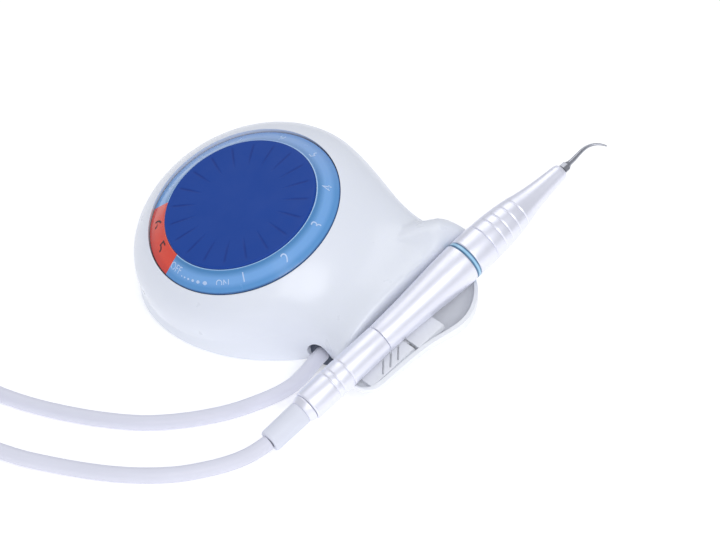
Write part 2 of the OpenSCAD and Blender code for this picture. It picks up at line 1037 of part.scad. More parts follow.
module swept_tube(path, r, sides, end_r = -1) {
    last = len(path) - 1;
    close_r = end_r < 0 ? r : end_r;
    points = [
        for (i = [0 : last])
            let (
                along = unit(path[min(i + 1, last)] - path[max(i - 1, 0)]),
                side = unit(cross(along, abs(along[2]) > 0.8 ? [0, 1, 0] : [0, 0, 1])),
                up = cross(side, along),
                here = r + (close_r - r) * i / last
            )
            each [
                for (j = [0 : sides - 1])
                    path[i] + here * (cos(j * 360 / sides) * side + sin(j * 360 / sides) * up)
            ]
    ];
    polyhedron(
        points = points,
        faces = concat(
            [[for (j = [0 : sides - 1]) j]],
            [[for (j = [sides - 1 : -1 : 0]) last * sides + j]],
            [
                for (i = [0 : last - 1], j = [0 : sides - 1])
                    let (
                        a = i * sides + j, b = i * sides + (j + 1) % sides,
                        c = b + sides, d = a + sides
                    )
                    each [[a, c, b], [a, d, c]]
            ]
        )
    );
}

module hose_base_run() {
    color([0.86, 0.87, 0.91])
        at_base()
            swept_tube(smooth_route(base_route, 2), hose_d / 2, 10);
}

module hose_hand_run() {
    color([0.86, 0.87, 0.91])
        at_base()
            swept_tube(smooth_route(hand_route, 2), hose_d / 2, 10);
}

module hose_coil() {
    color([0.86, 0.87, 0.91])
        at_base()
            translate([coil_centre[0], coil_centre[1], 0])
                rotate_extrude()
                    translate([coil_in_r, 0])
                        square([coil_out_r - coil_in_r, coil_h]);
}

module coil_tie() {
    color([0.20, 0.22, 0.25])
        at_base()
            translate([coil_centre[0], coil_centre[1], 0])
                difference() {
                    block([-coil_out_r - 1, -4, 0], [-coil_in_r + 1, 4, coil_h + 1]);
                    block([-coil_out_r, -5, -1], [-coil_in_r, 5, coil_h]);
                }
}

upper_housing();
base_plate();
rubber_feet();
housing_screws();
dial_well();
well_pillars();
dial_ring();
red_zone();
dial_disc();
dial_hub();
pot_shaft();
pot_bushing();
bushing_nut();
potentiometer();
control_board();
board_screws();
output_transformer();
heat_sink();
capacitors();
water_valve();
valve_coil();
water_tubes();
rear_panel();
power_jack();
footswitch_jack();
water_inlet();
flow_valve();
water_knob();
needle_stem();
hose_gland();
cradle_tray();
cradle_insert();
cradle_screws();
hose_boot();
boot_collar();
connector_sleeve();
connector_core();
contact_pins();
barrel();
light_ring();
front_sleeve();
nose_cap();
piezo_stack();
back_mass();
horn();
horn_seal();
plug_seals();
tip_nut();
scaler_tip();
hose_base_run();
hose_coil();
hose_hand_run();
coil_tie();
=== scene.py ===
import math

import bmesh
import bpy
import numpy as np
from mathutils import Matrix, Vector


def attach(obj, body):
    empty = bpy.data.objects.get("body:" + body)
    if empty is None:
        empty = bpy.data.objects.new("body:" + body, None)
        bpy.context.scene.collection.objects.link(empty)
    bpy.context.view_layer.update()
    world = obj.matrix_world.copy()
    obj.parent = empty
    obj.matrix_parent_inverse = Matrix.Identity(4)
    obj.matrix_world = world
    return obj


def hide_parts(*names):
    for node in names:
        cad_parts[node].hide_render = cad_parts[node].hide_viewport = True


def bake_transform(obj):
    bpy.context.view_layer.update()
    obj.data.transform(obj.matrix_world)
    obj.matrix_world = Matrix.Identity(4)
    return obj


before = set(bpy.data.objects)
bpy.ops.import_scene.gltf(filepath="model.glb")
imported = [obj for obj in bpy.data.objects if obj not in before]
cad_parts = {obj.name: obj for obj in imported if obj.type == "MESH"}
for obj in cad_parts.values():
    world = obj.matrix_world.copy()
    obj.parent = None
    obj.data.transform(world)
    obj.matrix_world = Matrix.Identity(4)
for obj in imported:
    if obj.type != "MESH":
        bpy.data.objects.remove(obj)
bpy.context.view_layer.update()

MM = 0.001
DIAL_X, DIAL_Y, DIAL_H, DIAL_TILT = -24.5, -31.5, 47.0, 24.0
HAND_X, HAND_Y, HAND_Z, HAND_SLOPE = 90.0, -40.0, 14.0, 20.5
HOSE_D = 6.6
ORIGIN = np.array([DIAL_X, DIAL_Y, 0.0])


# ---------------------------------------------------------------- frames
def rot_x(deg):
    c, s = math.cos(math.radians(deg)), math.sin(math.radians(deg))
    return np.array([[1, 0, 0], [0, c, -s], [0, s, c]])


BASE = (np.eye(3), ORIGIN)
DIAL = (rot_x(DIAL_TILT), ORIGIN + [0, 0, DIAL_H])
HAND = (rot_x(HAND_SLOPE - 90), ORIGIN + [HAND_X, HAND_Y, HAND_Z])


def place(points, where):
    """Points in a local frame in mm, as row-frame points in metres."""
    turn, move = where
    return (np.asarray(points, float) @ turn.T + move) * MM


def at(where, x, y, z):
    return Vector(place([[x, y, z]], where)[0])


# ---------------------------------------------------------------- camera
def look(azimuth, elevation):
    a, e = math.radians(azimuth), math.radians(elevation)
    return np.array([math.sin(a) * math.cos(e), -math.cos(a) * math.cos(e), math.sin(e)])


target = at(BASE, 48.74, 24.65, 30)
cam_data = bpy.data.cameras.new("camera")
cam = bpy.data.objects.new("camera", cam_data)
bpy.context.scene.collection.objects.link(cam)
back = Vector(look(48.906, 35.898))
cam.location = target + back * 1.0
cam.rotation_mode = "QUATERNION"
cam.rotation_quaternion = (-back).to_track_quat("-Z", "Y")
cam_data.sensor_width = 36
cam_data.lens = 115.55
cam_data.clip_start = 0.05
cam_data.clip_end = 20
bpy.context.scene.camera = cam


# ---------------------------------------------------------------- materials
class Mat:
    """A Principled material with a few procedural layers on it."""

    def __init__(self, name, color, rough=0.4, metallic=0.0, coat=0.0, sheen=0.0):
        self.mat = bpy.data.materials.new(name)
        self.mat.use_nodes = True
        self.tree = self.mat.node_tree
        self.shader = self.tree.nodes["Principled BSDF"]
        self.shader.inputs["Base Color"].default_value = (*color, 1)
        self.shader.inputs["Roughness"].default_value = rough
        self.shader.inputs["Metallic"].default_value = metallic
        self.shader.inputs["Coat Weight"].default_value = coat
        self.shader.inputs["Coat Roughness"].default_value = 0.12
        self.shader.inputs["Sheen Weight"].default_value = sheen
        self.mat.diffuse_color = (*color, 1)
        self.color_out = None
        self.bump_out = None
        self.base = color
        self.rough = rough

    def node(self, kind, **values):
        n = self.tree.nodes.new(kind)
        for key, value in values.items():
            if key in n.inputs:
                n.inputs[key].default_value = value
            else:
                setattr(n, key, value)
        return n

    def link(self, a, b):
        self.tree.links.new(a, b)

    def coords(self, where=None, stretch=(1, 1, 1)):
        """Object coordinates in millimetres, optionally in a local frame and stretched."""
        source = self.node("ShaderNodeTexCoord").outputs["Object"]
        turn, move = where if where else BASE
        shift = self.node("ShaderNodeVectorMath", operation="SUBTRACT")
        self.link(source, shift.inputs[0])
        shift.inputs[1].default_value = tuple(move * MM)
        rows = []
        for axis in range(3):
            dot = self.node("ShaderNodeVectorMath", operation="DOT_PRODUCT")
            self.link(shift.outputs[0], dot.inputs[0])
            dot.inputs[1].default_value = tuple(turn[:, axis] * stretch[axis] / MM)
            rows.append(dot.outputs["Value"])
        join = self.node("ShaderNodeCombineXYZ")
        for axis in range(3):
            self.link(rows[axis], join.inputs[axis])
        return join.outputs[0]

    def noise(self, coords, scale, detail=3.0, rough=0.5):
        n = self.node("ShaderNodeTexNoise")
        n.inputs["Scale"].default_value = scale
        n.inputs["Detail"].default_value = detail
        n.inputs["Roughness"].default_value = rough
        self.link(coords, n.inputs["Vector"])
        return n.outputs["Fac"]

    def ramp(self, fac, stops, mode="LINEAR"):
        r = self.node("ShaderNodeValToRGB")
        r.color_ramp.interpolation = mode
        while len(r.color_ramp.elements) < len(stops):
            r.color_ramp.elements.new(0.5)
        for element, (place_, color) in zip(r.color_ramp.elements, stops):
            element.position = place_
            element.color = (*color, 1) if len(color) == 3 else color
        self.link(fac, r.inputs[0])
        return r.outputs[0]

    def span(self, value, low, high, to_low=0.0, to_high=1.0):
        m = self.node("ShaderNodeMapRange")
        m.inputs["From Min"].default_value = low
        m.inputs["From Max"].default_value = high
        m.inputs["To Min"].default_value = to_low
        m.inputs["To Max"].default_value = to_high
        self.link(value, m.inputs["Value"])
        return m.outputs["Result"]

    def mix(self, fac, a, b, blend="MIX"):
        m = self.node("ShaderNodeMix", data_type="RGBA", blend_type=blend)
        if isinstance(fac, float):
            m.inputs["Factor"].default_value = fac
        else:
            self.link(fac, m.inputs["Factor"])
        for socket, value in ((m.inputs["A"], a), (m.inputs["B"], b)):
            if isinstance(value, tuple):
                socket.default_value = (*value, 1)
            else:
                self.link(value, socket)
        return m.outputs["Result"]

    def color(self, out):
        self.color_out = out
        self.link(out, self.shader.inputs["Base Color"])
        return self

    def mottle(self, where, scale, amount, dark=0.94):
        """Slow, faint colour change, as on moulded plastic that has been handled."""
        n = self.noise(self.coords(where), scale, 4)
        fac = self.span(n, 0.3, 0.7, 0.0, amount)
        under = self.color_out if self.color_out else tuple(self.base)
        shade = tuple(c * dark for c in self.base)
        self.color(self.mix(fac, under, shade))
        return self

    def uneven(self, where, scale, spread):
        """Roughness that wanders about its middle value."""
        n = self.noise(self.coords(where), scale, 3)
        low, high = max(0.03, self.rough - spread), self.rough + spread
        self.link(self.span(n, 0.3, 0.7, low, high), self.shader.inputs["Roughness"])
        return self

    def grain(self, where, scale, strength, stretch=(1, 1, 1), depth=0.05, detail=2.0):
        """Fine surface relief; depth is in millimetres."""
        n = self.noise(self.coords(where, stretch), scale, detail)
        bump = self.node("ShaderNodeBump")
        bump.inputs["Strength"].default_value = strength
        bump.inputs["Distance"].default_value = depth * MM
        self.link(n, bump.inputs["Height"])
        if self.bump_out:
            self.link(self.bump_out, bump.inputs["Normal"])
        self.bump_out = bump.outputs["Normal"]
        self.link(self.bump_out, self.shader.inputs["Normal"])
        return self


def srgb(r, g, b):
    """A colour as seen, 0 to 255, made linear."""
    out = []
    for v in (r, g, b):
        v = v / 255
        out.append(v / 12.92 if v < 0.04045 else ((v + 0.055) / 1.055) ** 2.4)
    return tuple(out)


shell = Mat("white_shell", srgb(231, 235, 244), 0.32, coat=0.2)
shell.mottle(BASE, 0.02, 0.35, 0.97).uneven(BASE, 0.08, 0.05).grain(BASE, 2.2, 0.10, depth=0.02)
shell.shader.inputs["Subsurface Weight"].default_value = 0.06
shell.shader.inputs["Subsurface Radius"].default_value = (0.004, 0.004, 0.005)

tray_mat = Mat("cradle_plastic", srgb(246, 248, 252), 0.34, coat=0.15)
tray_mat.mottle(BASE, 0.05, 0.4, 0.95).uneven(BASE, 0.2, 0.06).grain(BASE, 2.6, 0.12, depth=0.02)

grey_shell = Mat("grey_moulding", srgb(205, 210, 220), 0.5)
grey_shell.mottle(BASE, 0.06, 0.5, 0.9).uneven(BASE, 0.2, 0.08).grain(BASE, 1.6, 0.3, depth=0.04)

feet_mat = Mat("feet_rubber", srgb(58, 60, 66), 0.8)
feet_mat.mottle(BASE, 0.3, 0.8, 0.7).grain(BASE, 1.5, 0.5, depth=0.05)

steel = Mat("plated_steel", srgb(168, 170, 178), 0.28, metallic=1.0)
steel.mottle(BASE, 0.5, 0.6, 0.75).uneven(BASE, 0.8, 0.08).grain(BASE, 3.0, 0.2, depth=0.01)

brass = Mat("brass", srgb(190, 160, 92), 0.32, metallic=1.0)
brass.mottle(BASE, 0.4, 0.7, 0.75).uneven(BASE, 0.6, 0.1).grain(BASE, 2.5, 0.2, depth=0.01)

dark = Mat("dark_moulding", srgb(46, 48, 54), 0.5)
dark.mottle(BASE, 0.3, 0.6, 0.7).uneven(BASE, 0.4, 0.1).grain(BASE, 2.0, 0.35, depth=0.03)

gland_mat = Mat("gland_moulding", srgb(74, 82, 100), 0.55)
gland_mat.mottle(BASE, 0.3, 0.6, 0.8).uneven(BASE, 0.4, 0.1).grain(BASE, 2.0, 0.35, depth=0.03)

board_mat = Mat("circuit_board", srgb(24, 98, 58), 0.4, coat=0.3)
cells = board_mat.node("ShaderNodeTexVoronoi", distance="MANHATTAN", feature="DISTANCE_TO_EDGE")
cells.inputs["Scale"].default_value = 0.45
board_mat.link(board_mat.coords(BASE), cells.inputs["Vector"])
tracks = board_mat.ramp(cells.outputs["Distance"], [(0.0, srgb(120, 150, 90)), (0.08, srgb(24, 98, 58))])
board_mat.color(tracks).grain(BASE, 1.2, 0.3, depth=0.03)

winding = Mat("copper_winding", srgb(150, 92, 46), 0.35, metallic=0.6)
winding.mottle(BASE, 0.4, 0.8, 0.6).grain(BASE, 2.0, 0.9, stretch=(0.05, 0.05, 1.5), depth=0.2)

alloy = Mat("machined_alloy", srgb(176, 180, 190), 0.35, metallic=1.0)
alloy.mottle(BASE, 0.3, 0.5, 0.8).uneven(BASE, 0.6, 0.1).grain(BASE, 2.2, 0.2, depth=0.02)

valve_mat = Mat("valve_body", srgb(222, 218, 200), 0.45)
valve_mat.mottle(BASE, 0.1, 0.6, 0.9).grain(BASE, 2.0, 0.3, depth=0.03)

clear_mat = Mat("clear_line", srgb(205, 218, 232), 0.15, coat=0.5)
clear_mat.mottle(BASE, 0.2, 0.4, 0.9).grain(BASE, 1.0, 0.1, depth=0.03)
clear_mat.shader.inputs["Transmission Weight"].default_value = 0.4

hose_mat = Mat("hose_silicone", srgb(222, 223, 236), 0.46, sheen=0.15)
hose_mat.mottle(BASE, 0.05, 0.5, 0.93).uneven(BASE, 0.15, 0.06).grain(BASE, 1.8, 0.25, depth=0.03)

boot_mat = Mat("boot_rubber", srgb(224, 227, 239), 0.45)
boot_mat.mottle(BASE, 0.1, 0.5, 0.92).uneven(BASE, 0.3, 0.07).grain(BASE, 2.0, 0.25, depth=0.03)

ceramic = Mat("piezo_ceramic", srgb(228, 222, 204), 0.55)
ceramic.mottle(BASE, 0.3, 0.6, 0.88).grain(BASE, 3.0, 0.3, depth=0.02)

seal_mat = Mat("seal_rubber", srgb(44, 45, 50), 0.6)
seal_mat.mottle(BASE, 0.3, 0.5, 0.8).grain(BASE, 2.0, 0.2, depth=0.02)

# Satin-anodised sleeves: round turning marks under a pearly finish
hand_mat = Mat("satin_sleeve", srgb(240, 241, 252), 0.42, metallic=0.7)
hand_mat.mottle(HAND, 0.03, 0.3, 0.96)
hand_mat.uneven(HAND, 0.12, 0.04)
hand_mat.grain(HAND, 1.0, 0.02, stretch=(0.02, 0.02, 4.0), depth=0.02)
hand_mat.grain(HAND, 3.5, 0.05, depth=0.01)

band_mat = Mat("light_band", srgb(150, 200, 228), 0.25, coat=0.5)
along = band_mat.node("ShaderNodeSeparateXYZ")
band_mat.link(band_mat.coords(HAND), along.inputs[0])
edge = band_mat.span(along.outputs["Z"], 92.0, 94.4)
teal = srgb(64, 112, 150)
pale = srgb(160, 206, 236)
band_stops = [(0.0, teal), (0.2, teal), (0.34, pale), (0.66, pale), (0.8, teal), (1.0, teal)]
band_mat.color(band_mat.ramp(edge, band_stops))
band_mat.grain(HAND, 3.0, 0.06, depth=0.01)

GROOVES = 20
disc_mat = Mat("disc_blue", srgb(21, 67, 154), 0.55)
disc_mat.shader.inputs["Specular IOR Level"].default_value = 0.25


def around_dial(m):
    """Distance from the dial's axis in millimetres."""
    flat = m.node("ShaderNodeVectorMath", operation="MULTIPLY")
    m.link(m.coords(DIAL), flat.inputs[0])
    flat.inputs[1].default_value = (1, 1, 0)
    length = m.node("ShaderNodeVectorMath", operation="LENGTH")
    m.link(flat.outputs[0], length.inputs[0])
    return length.outputs["Value"]


def maths(m, operation, a, b=None):
    n = m.node("ShaderNodeMath", operation=operation)
    for socket, value in zip(n.inputs, (a, b)):
        if value is None:
            continue
        if isinstance(value, (int, float)):
            socket.default_value = value
        else:
            m.link(value, socket)
    return n.outputs[0]


def painted_groove_shade(m, count, low, high, wide):
    """Mask of painted shade: 1 in the bottom of each radial groove, fading out across it and at its two ends.
    """
    xyz = m.node("ShaderNodeSeparateXYZ")
    m.link(m.coords(DIAL), xyz.inputs[0])
    turn = maths(m, "ARCTAN2", xyz.outputs["Y"], xyz.outputs["X"])
    cell = maths(m, "FRACT", maths(m, "ADD", maths(m, "MULTIPLY", turn, count / (2 * math.pi)), count + 0.5))
    off = maths(m, "ABSOLUTE", maths(m, "SUBTRACT", cell, 0.5))
    r = around_dial(m)
    across = maths(m, "MULTIPLY", maths(m, "MULTIPLY", off, 2 * math.pi / count), r)
    ends = maths(m, "MULTIPLY", m.span(r, low, low + 6), m.span(r, high, high - 2))
    return maths(m, "MULTIPLY", m.span(across, wide, wide * 0.3), ends)


# Painted shade: the disc's blue is darkened along the bottom of each pressed groove.
disc_tone_with_painted_shade = disc_mat.mix(painted_groove_shade(disc_mat, GROOVES, 20, 33, 0.8), srgb(21, 67, 154), srgb(17, 54, 136))
disc_mat.color(disc_tone_with_painted_shade).mottle(DIAL, 0.05, 0.35, 0.9)
disc_mat.uneven(DIAL, 0.12, 0.06).grain(DIAL, 2.4, 0.10, depth=0.02)


def band_across(name, painted_bevel_highlight, inner, middle, outer, line, painted_lit_side):
    """Tinted clear plastic over white, coloured by distance from the dial's axis: a painted highlight on the
    bevel at the disc's edge, a painted shadow just outside it, the tint, darker towards the outer edge with a
    dark line at the rim, and painted light that pales one side.
    """
    m = Mat(name, middle, 0.22, coat=0.5)
    r = m.span(around_dial(m), 35.0, 44.0)
    # The first stops are a painted highlight on the bevel by the disc's edge, then a painted shadow just
    # beneath it (the inner colour).
    tone = m.ramp(r, [(0.0, painted_bevel_highlight), (0.055, painted_bevel_highlight), (0.08, inner), (0.16, inner), (0.4, middle),
                      (0.62, middle), (0.82, outer), (0.965, outer), (1.0, line)])
    # Painted light: the ring is paled towards one side, where the light falls on it.
    side = m.node("ShaderNodeVectorMath", operation="DOT_PRODUCT")
    m.link(m.coords(DIAL), side.inputs[0])
    side.inputs[1].default_value = (-0.62, 0.78, 0)
    fac = m.span(side.outputs["Value"], 5.0, 40.0, 0.0, 0.55)
    m.color(m.mix(fac, tone, painted_lit_side))
    n = m.noise(m.coords(DIAL), 0.12, 4)
    m.link(m.span(n, 0.3, 0.7, 0.16, 0.28), m.shader.inputs["Roughness"])
    m.grain(DIAL, 1.5, 0.06, depth=0.02)
    m.shader.inputs["Subsurface Weight"].default_value = 0.1
    m.shader.inputs["Subsurface Radius"].default_value = (0.002, 0.002, 0.003)
    return m


# Colours in order: painted bevel highlight, painted edge shadow, tint, outer tint, rim line, painted lit
# side.
scale_mat = band_across("scale_tint_painted_light", srgb(166, 206, 244), srgb(72, 134, 190), srgb(116, 170, 228),
                        srgb(88, 150, 210), srgb(56, 104, 160), srgb(158, 184, 232))
red_mat = band_across("red_tint_painted_light", srgb(236, 96, 72), srgb(224, 66, 44), srgb(226, 70, 48), srgb(212, 58, 44),
                      srgb(120, 34, 40), srgb(206, 92, 96))
print_white = Mat("white_print", srgb(184, 208, 242), 0.45)
print_white.mottle(DIAL, 0.6, 0.5, 0.88).grain(DIAL, 3.0, 0.1, depth=0.01)
print_black = Mat("black_print", srgb(70, 22, 30), 0.45)
print_black.mottle(DIAL, 0.6, 0.5, 0.8).grain(DIAL, 3.0, 0.1, depth=0.01)


# ---------------------------------------------------------------- mesh helpers
def make(name, verts, faces, mat, body, replaces=(), smooth=True, sharp=40):
    mesh = bpy.data.meshes.new(name)
    mesh.from_pydata([tuple(v) for v in verts], [], [tuple(int(i) for i in f) for f in faces])
    mesh.validate()
    obj = bpy.data.objects.new(name, mesh)
    bpy.context.scene.collection.objects.link(obj)
    finish_mesh(obj, smooth, sharp)
    obj.data.materials.append(mat.mat)
    if body:
        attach(obj, body)
    if replaces:
        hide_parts(*replaces)
    return obj


def finish_mesh(obj, smooth=True, sharp=40):
    bm = bmesh.new()
    bm.from_mesh(obj.data)
    bmesh.ops.recalc_face_normals(bm, faces=bm.faces)
    for f in bm.faces:
        f.smooth = smooth
    for e in bm.edges:
        if len(e.link_faces) == 2 and e.calc_face_angle(0) > math.radians(sharp):
            e.smooth = False
    bm.to_mesh(obj.data)
    bm.free()


def grid_faces(rows, cols, close_cols=True, close_rows=False):
    faces = []
    for r in range(rows - (0 if close_rows else 1)):
        for c in range(cols - (0 if close_cols else 1)):
            r2, c2 = (r + 1) % rows, (c + 1) % cols
            faces.append((r * cols + c, r * cols + c2, r2 * cols + c2, r2 * cols + c))
    return faces


def soften(profile, radius=0.25, steps=4, closed=True):
    """Rounds each corner of a profile in (r, z), so that edges catch the light."""
    pts = [np.array(p, float) for p in profile]
    out = []
    n = len(pts)
    for i in range(n):
        if not closed and i in (0, n - 1):
            out.append(pts[i])
            continue
        a, b, c = pts[i - 1], pts[i], pts[(i + 1) % n]
        u, v = a - b, c - b
        lu, lv = np.linalg.norm(u), np.linalg.norm(v)
        if lu < 1e-9 or lv < 1e-9:
            continue
        cut = min(radius, lu * 0.45, lv * 0.45)
        p, q = b + u / lu * cut, b + v / lv * cut
        for s in range(steps + 1):
            t = s / steps
            out.append((1 - t) ** 2 * p + 2 * t * (1 - t) * b + t * t * q)
    return out


def lathe(name, profile, where, mat, body, replaces=(), segs=144, radius=0.25, sector=None, sharp=50):
    """Turns a closed profile in (r, z) about the local Z axis; sector = (from, span) in degrees."""
    ring = soften(profile, radius)
    start, span = sector if sector else (0, 360)
    full = sector is None
    count = segs if full else max(2, int(segs * span / 360)) + 1
    angles = np.radians(start + span * np.arange(count) / (count if full else count - 1))
    verts = [(p[0] * math.cos(a), p[0] * math.sin(a), p[1]) for a in angles for p in ring]
    n = len(ring)
    faces = grid_faces(count, n, True, full)
    if not full:
        faces += [tuple(range(n)), tuple((count - 1) * n + i for i in reversed(range(n)))]
    return make(name, place(verts, where), faces, mat, body, replaces, sharp=sharp)


def catmull(points, cuts):
    p = np.array(points, float)
    out = []
    for i in range(len(p) - 1):
        p0, p1, p2, p3 = p[max(i - 1, 0)], p[i], p[i + 1], p[min(i + 2, len(p) - 1)]
        for c in range(cuts):
            s = c / cuts
            out.append(0.5 * (2 * p1 + (p2 - p0) * s + (2 * p0 - 5 * p1 + 4 * p2 - p3) * s * s
                              + (3 * p1 - p0 - 3 * p2 + p3) * s ** 3))
    out.append(p[-1])
    return np.array(out)


def tube(path, radius, sides):
    """Vertices and faces of a tube along path; radius is a number or one per point."""
    path = np.asarray(path, float)
    radii = np.broadcast_to(radius, (len(path),))
    tangent = np.gradient(path, axis=0)
    tangent /= np.linalg.norm(tangent, axis=1)[:, None]
    side = np.cross(tangent[0], [0, 0, 1])
    if np.linalg.norm(side) < 0.1:
        side = np.cross(tangent[0], [0, 1, 0])
    side /= np.linalg.norm(side)
    verts = []
    for i in range(len(path)):
        side = side - tangent[i] * (side @ tangent[i])
        side /= np.linalg.norm(side)
        up = np.cross(side, tangent[i])
        for j in range(sides):
            a = 2 * math.pi * j / sides
            verts.append(path[i] + radii[i] * (math.cos(a) * side + math.sin(a) * up))
    faces = grid_faces(len(path), sides)
    last = (len(path) - 1) * sides
    faces += [tuple(range(sides)), tuple(last + j for j in reversed(range(sides)))]
    return np.array(verts), faces


# ---------------------------------------------------------------- hose, one length
HOSE_Z = HOSE_D / 2 + 0.1
COIL = np.array([-47.0, -179.0])
base_route = [
    (61.22, -7.64, 8), (62.5, -11.6, 7.9), (64.3, -17, 7.2), (65.6, -22, 6.2), (66.2, -27, 5.1),
    (66.1, -32, 4.2), (65.4, -38, 3.6), (64.2, -45.5, HOSE_Z), (62.3, -55, HOSE_Z),
    (58.8, -65, HOSE_Z), (52.5, -77.5, HOSE_Z), (43.4, -90, HOSE_Z), (31, -101, HOSE_Z),
    (17, -110.6, HOSE_Z), (2, -118.8, HOSE_Z), (-14, -125, HOSE_Z), (-30, -128.8, HOSE_Z),
    (-47, -130.2, HOSE_Z),
]
hand_route = [
    (90, -60.9, 6.2), (89.5, -66, 4.9), (88.5, -72.5, 3.8), (86.5, -80.5, HOSE_Z),
    (83.4, -89, HOSE_Z), (79, -98, HOSE_Z), (72.5, -107, HOSE_Z), (64, -116, HOSE_Z),
    (54, -124.3, HOSE_Z), (42, -132.6, HOSE_Z), (29, -141, 3.9), (16, -148.6, 5.6),
    (8, -155.8, 7.4), (3.2, -164, 9.1), (1.1, -171.5, 9.9), (0.6, -179, 10),
]


def coil_path():
    """Winds inwards on the table, climbs over itself and winds out again on top."""
    outer, pitch, per_turn = 48.8, 6.65, 28
    inner = outer - 3 * pitch
    points = []
    for i in range(1, int(6.75 * per_turn)):
        t = i / per_turn
        climb = min(1.0, max(0.0, (t - 3.3) / 0.5))
        climb = climb * climb * (3 - 2 * climb)
        if t < 3.8:
            r = outer - pitch * min(3.0, max(0.0, t - 0.3)) - 0.85 * climb
        else:
            r = inner - 0.85 + pitch * (t - 3.8)
        a = math.radians(90 + 360 * t)
        points.append((COIL[0] + r * math.cos(a), COIL[1] + r * math.sin(a), HOSE_Z + HOSE_D * climb))
    return points


coil_points = coil_path()
route = base_route + coil_points + hand_route[::-1]
hose_line = catmull(route, 4)
v, f = tube(hose_line, HOSE_D / 2, 20)
hose = make("hose", place(v, BASE), f, hose_mat, None)
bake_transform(hose)
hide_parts("hose_base_run", "hose_coil", "hose_hand_run")


# ---------------------------------------------------------------- outer form of the base
def to_tilt(p):
    c, s = math.cos(math.radians(DIAL_TILT)), math.sin(math.radians(DIAL_TILT))
    y, z = p[..., 1], p[..., 2] - DIAL_H
    return np.stack([p[..., 0], y * c + z * s, z * c - y * s], -1)


def from_tilt(q):
    return q @ rot_x(DIAL_TILT).T + [0, 0, DIAL_H]


def smooth_min(a, b, k):
    h = np.clip(0.5 + 0.5 * (b - a) / k, 0, 1)
    return b * (1 - h) + a * h - k * h * (1 - h)


POWER = 2.6
FOOT_Z, SHELL_WALL, RIM_EASE = 5.0, 2.4, 0.6
HEART = np.array([28.0, 14.0, 26.0])
TAIL_END = 80.0
LUG_MID, LUG_HALF = np.array([71.5, 48.0, 47.5]), np.array([8.0, 9.0, 8.7])
OPENING = 44.5


def form(p):
    q = to_tilt(p)
    u, v, w = q[..., 0], q[..., 1], q[..., 2]
    half = np.where(w > -20.5, 28.0, 63.0)
    vv = v - 1.2 - 0.48 * np.minimum(w + 20.5, 0)
    flat = np.hypot(u + 2, vv) / 57
    lobe = ((flat ** POWER + (np.abs(w + 20.5) / half) ** POWER) ** (1 / POWER) - 1) * 57 * 0.8
    flare = np.maximum(0, (u - 55) / 25) ** 2
    deep = np.where(w > -29, 16 + 2 * flare, 12.0)
    total = (np.abs(u - 79) / 63) ** POWER + (np.abs(v - 16) / (35 + 8 * flare)) ** POWER \
        + (np.abs(w + 29) / deep) ** POWER
    tail = (total ** (1 / POWER) - 1) * 28
    lug = (np.linalg.norm((p - LUG_MID) / LUG_HALF, axis=-1) - 1) * 9
    body = smooth_min(smooth_min(lobe, tail, 21), lug, 9)
    return -smooth_min(-body, TAIL_END - p[..., 0], 5)


def reach(start, along, near, far, steps=24):
    lo = np.full(start.shape[:-1], float(near))
    hi = np.full(start.shape[:-1], float(far))
    for _ in range(steps):
        mid = (lo + hi) / 2
        inside = form(start + along * mid[..., None]) < 0
        lo, hi = np.where(inside, mid, lo), np.where(inside, hi, mid)
    return lo


def unit(v):
    return v / np.linalg.norm(v, axis=-1, keepdims=True)


def slope(p):
    e = 0.05
    f = form(p)
    return unit(np.stack([form(p + [e, 0, 0]) - f, form(p + [0, e, 0]) - f, form(p + [0, 0, e]) - f], -1))


def level(angle, z, inset=0.0):
    along = np.stack([np.cos(angle), np.sin(angle), np.zeros_like(angle)], -1)
    start = np.stack([np.full_like(angle, c) for c in (HEART[0], HEART[1], z)], -1)
    far = reach(start, along, 0, 110)
    face = slope(start + along * far[..., None])
    cut = inset / np.maximum(0.4, (along * face).sum(-1))
    return start + along * (far - cut)[..., None]


def rim(angle, radius, inset=0.0):
    flat = np.stack([radius * np.cos(angle), radius * np.sin(angle), np.full_like(angle, -12.0)], -1)
    low = from_tilt(flat)
    up = from_tilt(flat + [0, 0, 1]) - low
    return low + up * (reach(low, up, 0, 30) - inset)[..., None]


def shell_ring(share, turn, angle, inset):
    along = unit(unit(level(angle, FOOT_Z) - HEART) * (1 - share) + unit(rim(turn, OPENING) - HEART) * share)
    start = np.broadcast_to(HEART, along.shape)
    far = reach(start, along, 0, 110)
    face = slope(start + along * far[..., None])
    cut = inset / np.maximum(0.4, (along * face).sum(-1))
    return start + along * (far - cut)[..., None]


WELL_DEEP = -8


def clear_opening(p):
    """Holds the inner skin back to the wall of the dial's opening."""
    q = to_tilt(p)
    out = np.maximum(np.hypot(q[..., 0], q[..., 1]), 1)
    push = np.where(q[..., 2] > WELL_DEEP, np.maximum(OPENING / out, 1), 1)
    q[..., :2] *= push[..., None]
    return from_tilt(q)


AROUND = 320
turn = np.linspace(0, 2 * math.pi, AROUND, endpoint=False)
angle = turn - math.radians(22) * np.sin(turn)
OUT, IN = ((120, 30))
rings = [level(angle, FOOT_Z)]
rings += [shell_ring(k / OUT, turn, angle, 0.0) for k in range(1, OUT)]
top = rim(turn, OPENING)
rings += [top, rim(turn, OPENING, RIM_EASE), rim(turn, OPENING, SHELL_WALL)]
rings += [clear_opening(shell_ring(k / IN, turn, angle, SHELL_WALL)) for k in range(IN - 1, 0, -1)]
rings += [level(angle, FOOT_Z, SHELL_WALL)]
verts = np.concatenate(rings)
housing = make("upper_housing_skin", place(verts, BASE), grid_faces(len(rings), AROUND, True, True),
               shell, "base_unit", ("upper_housing",))


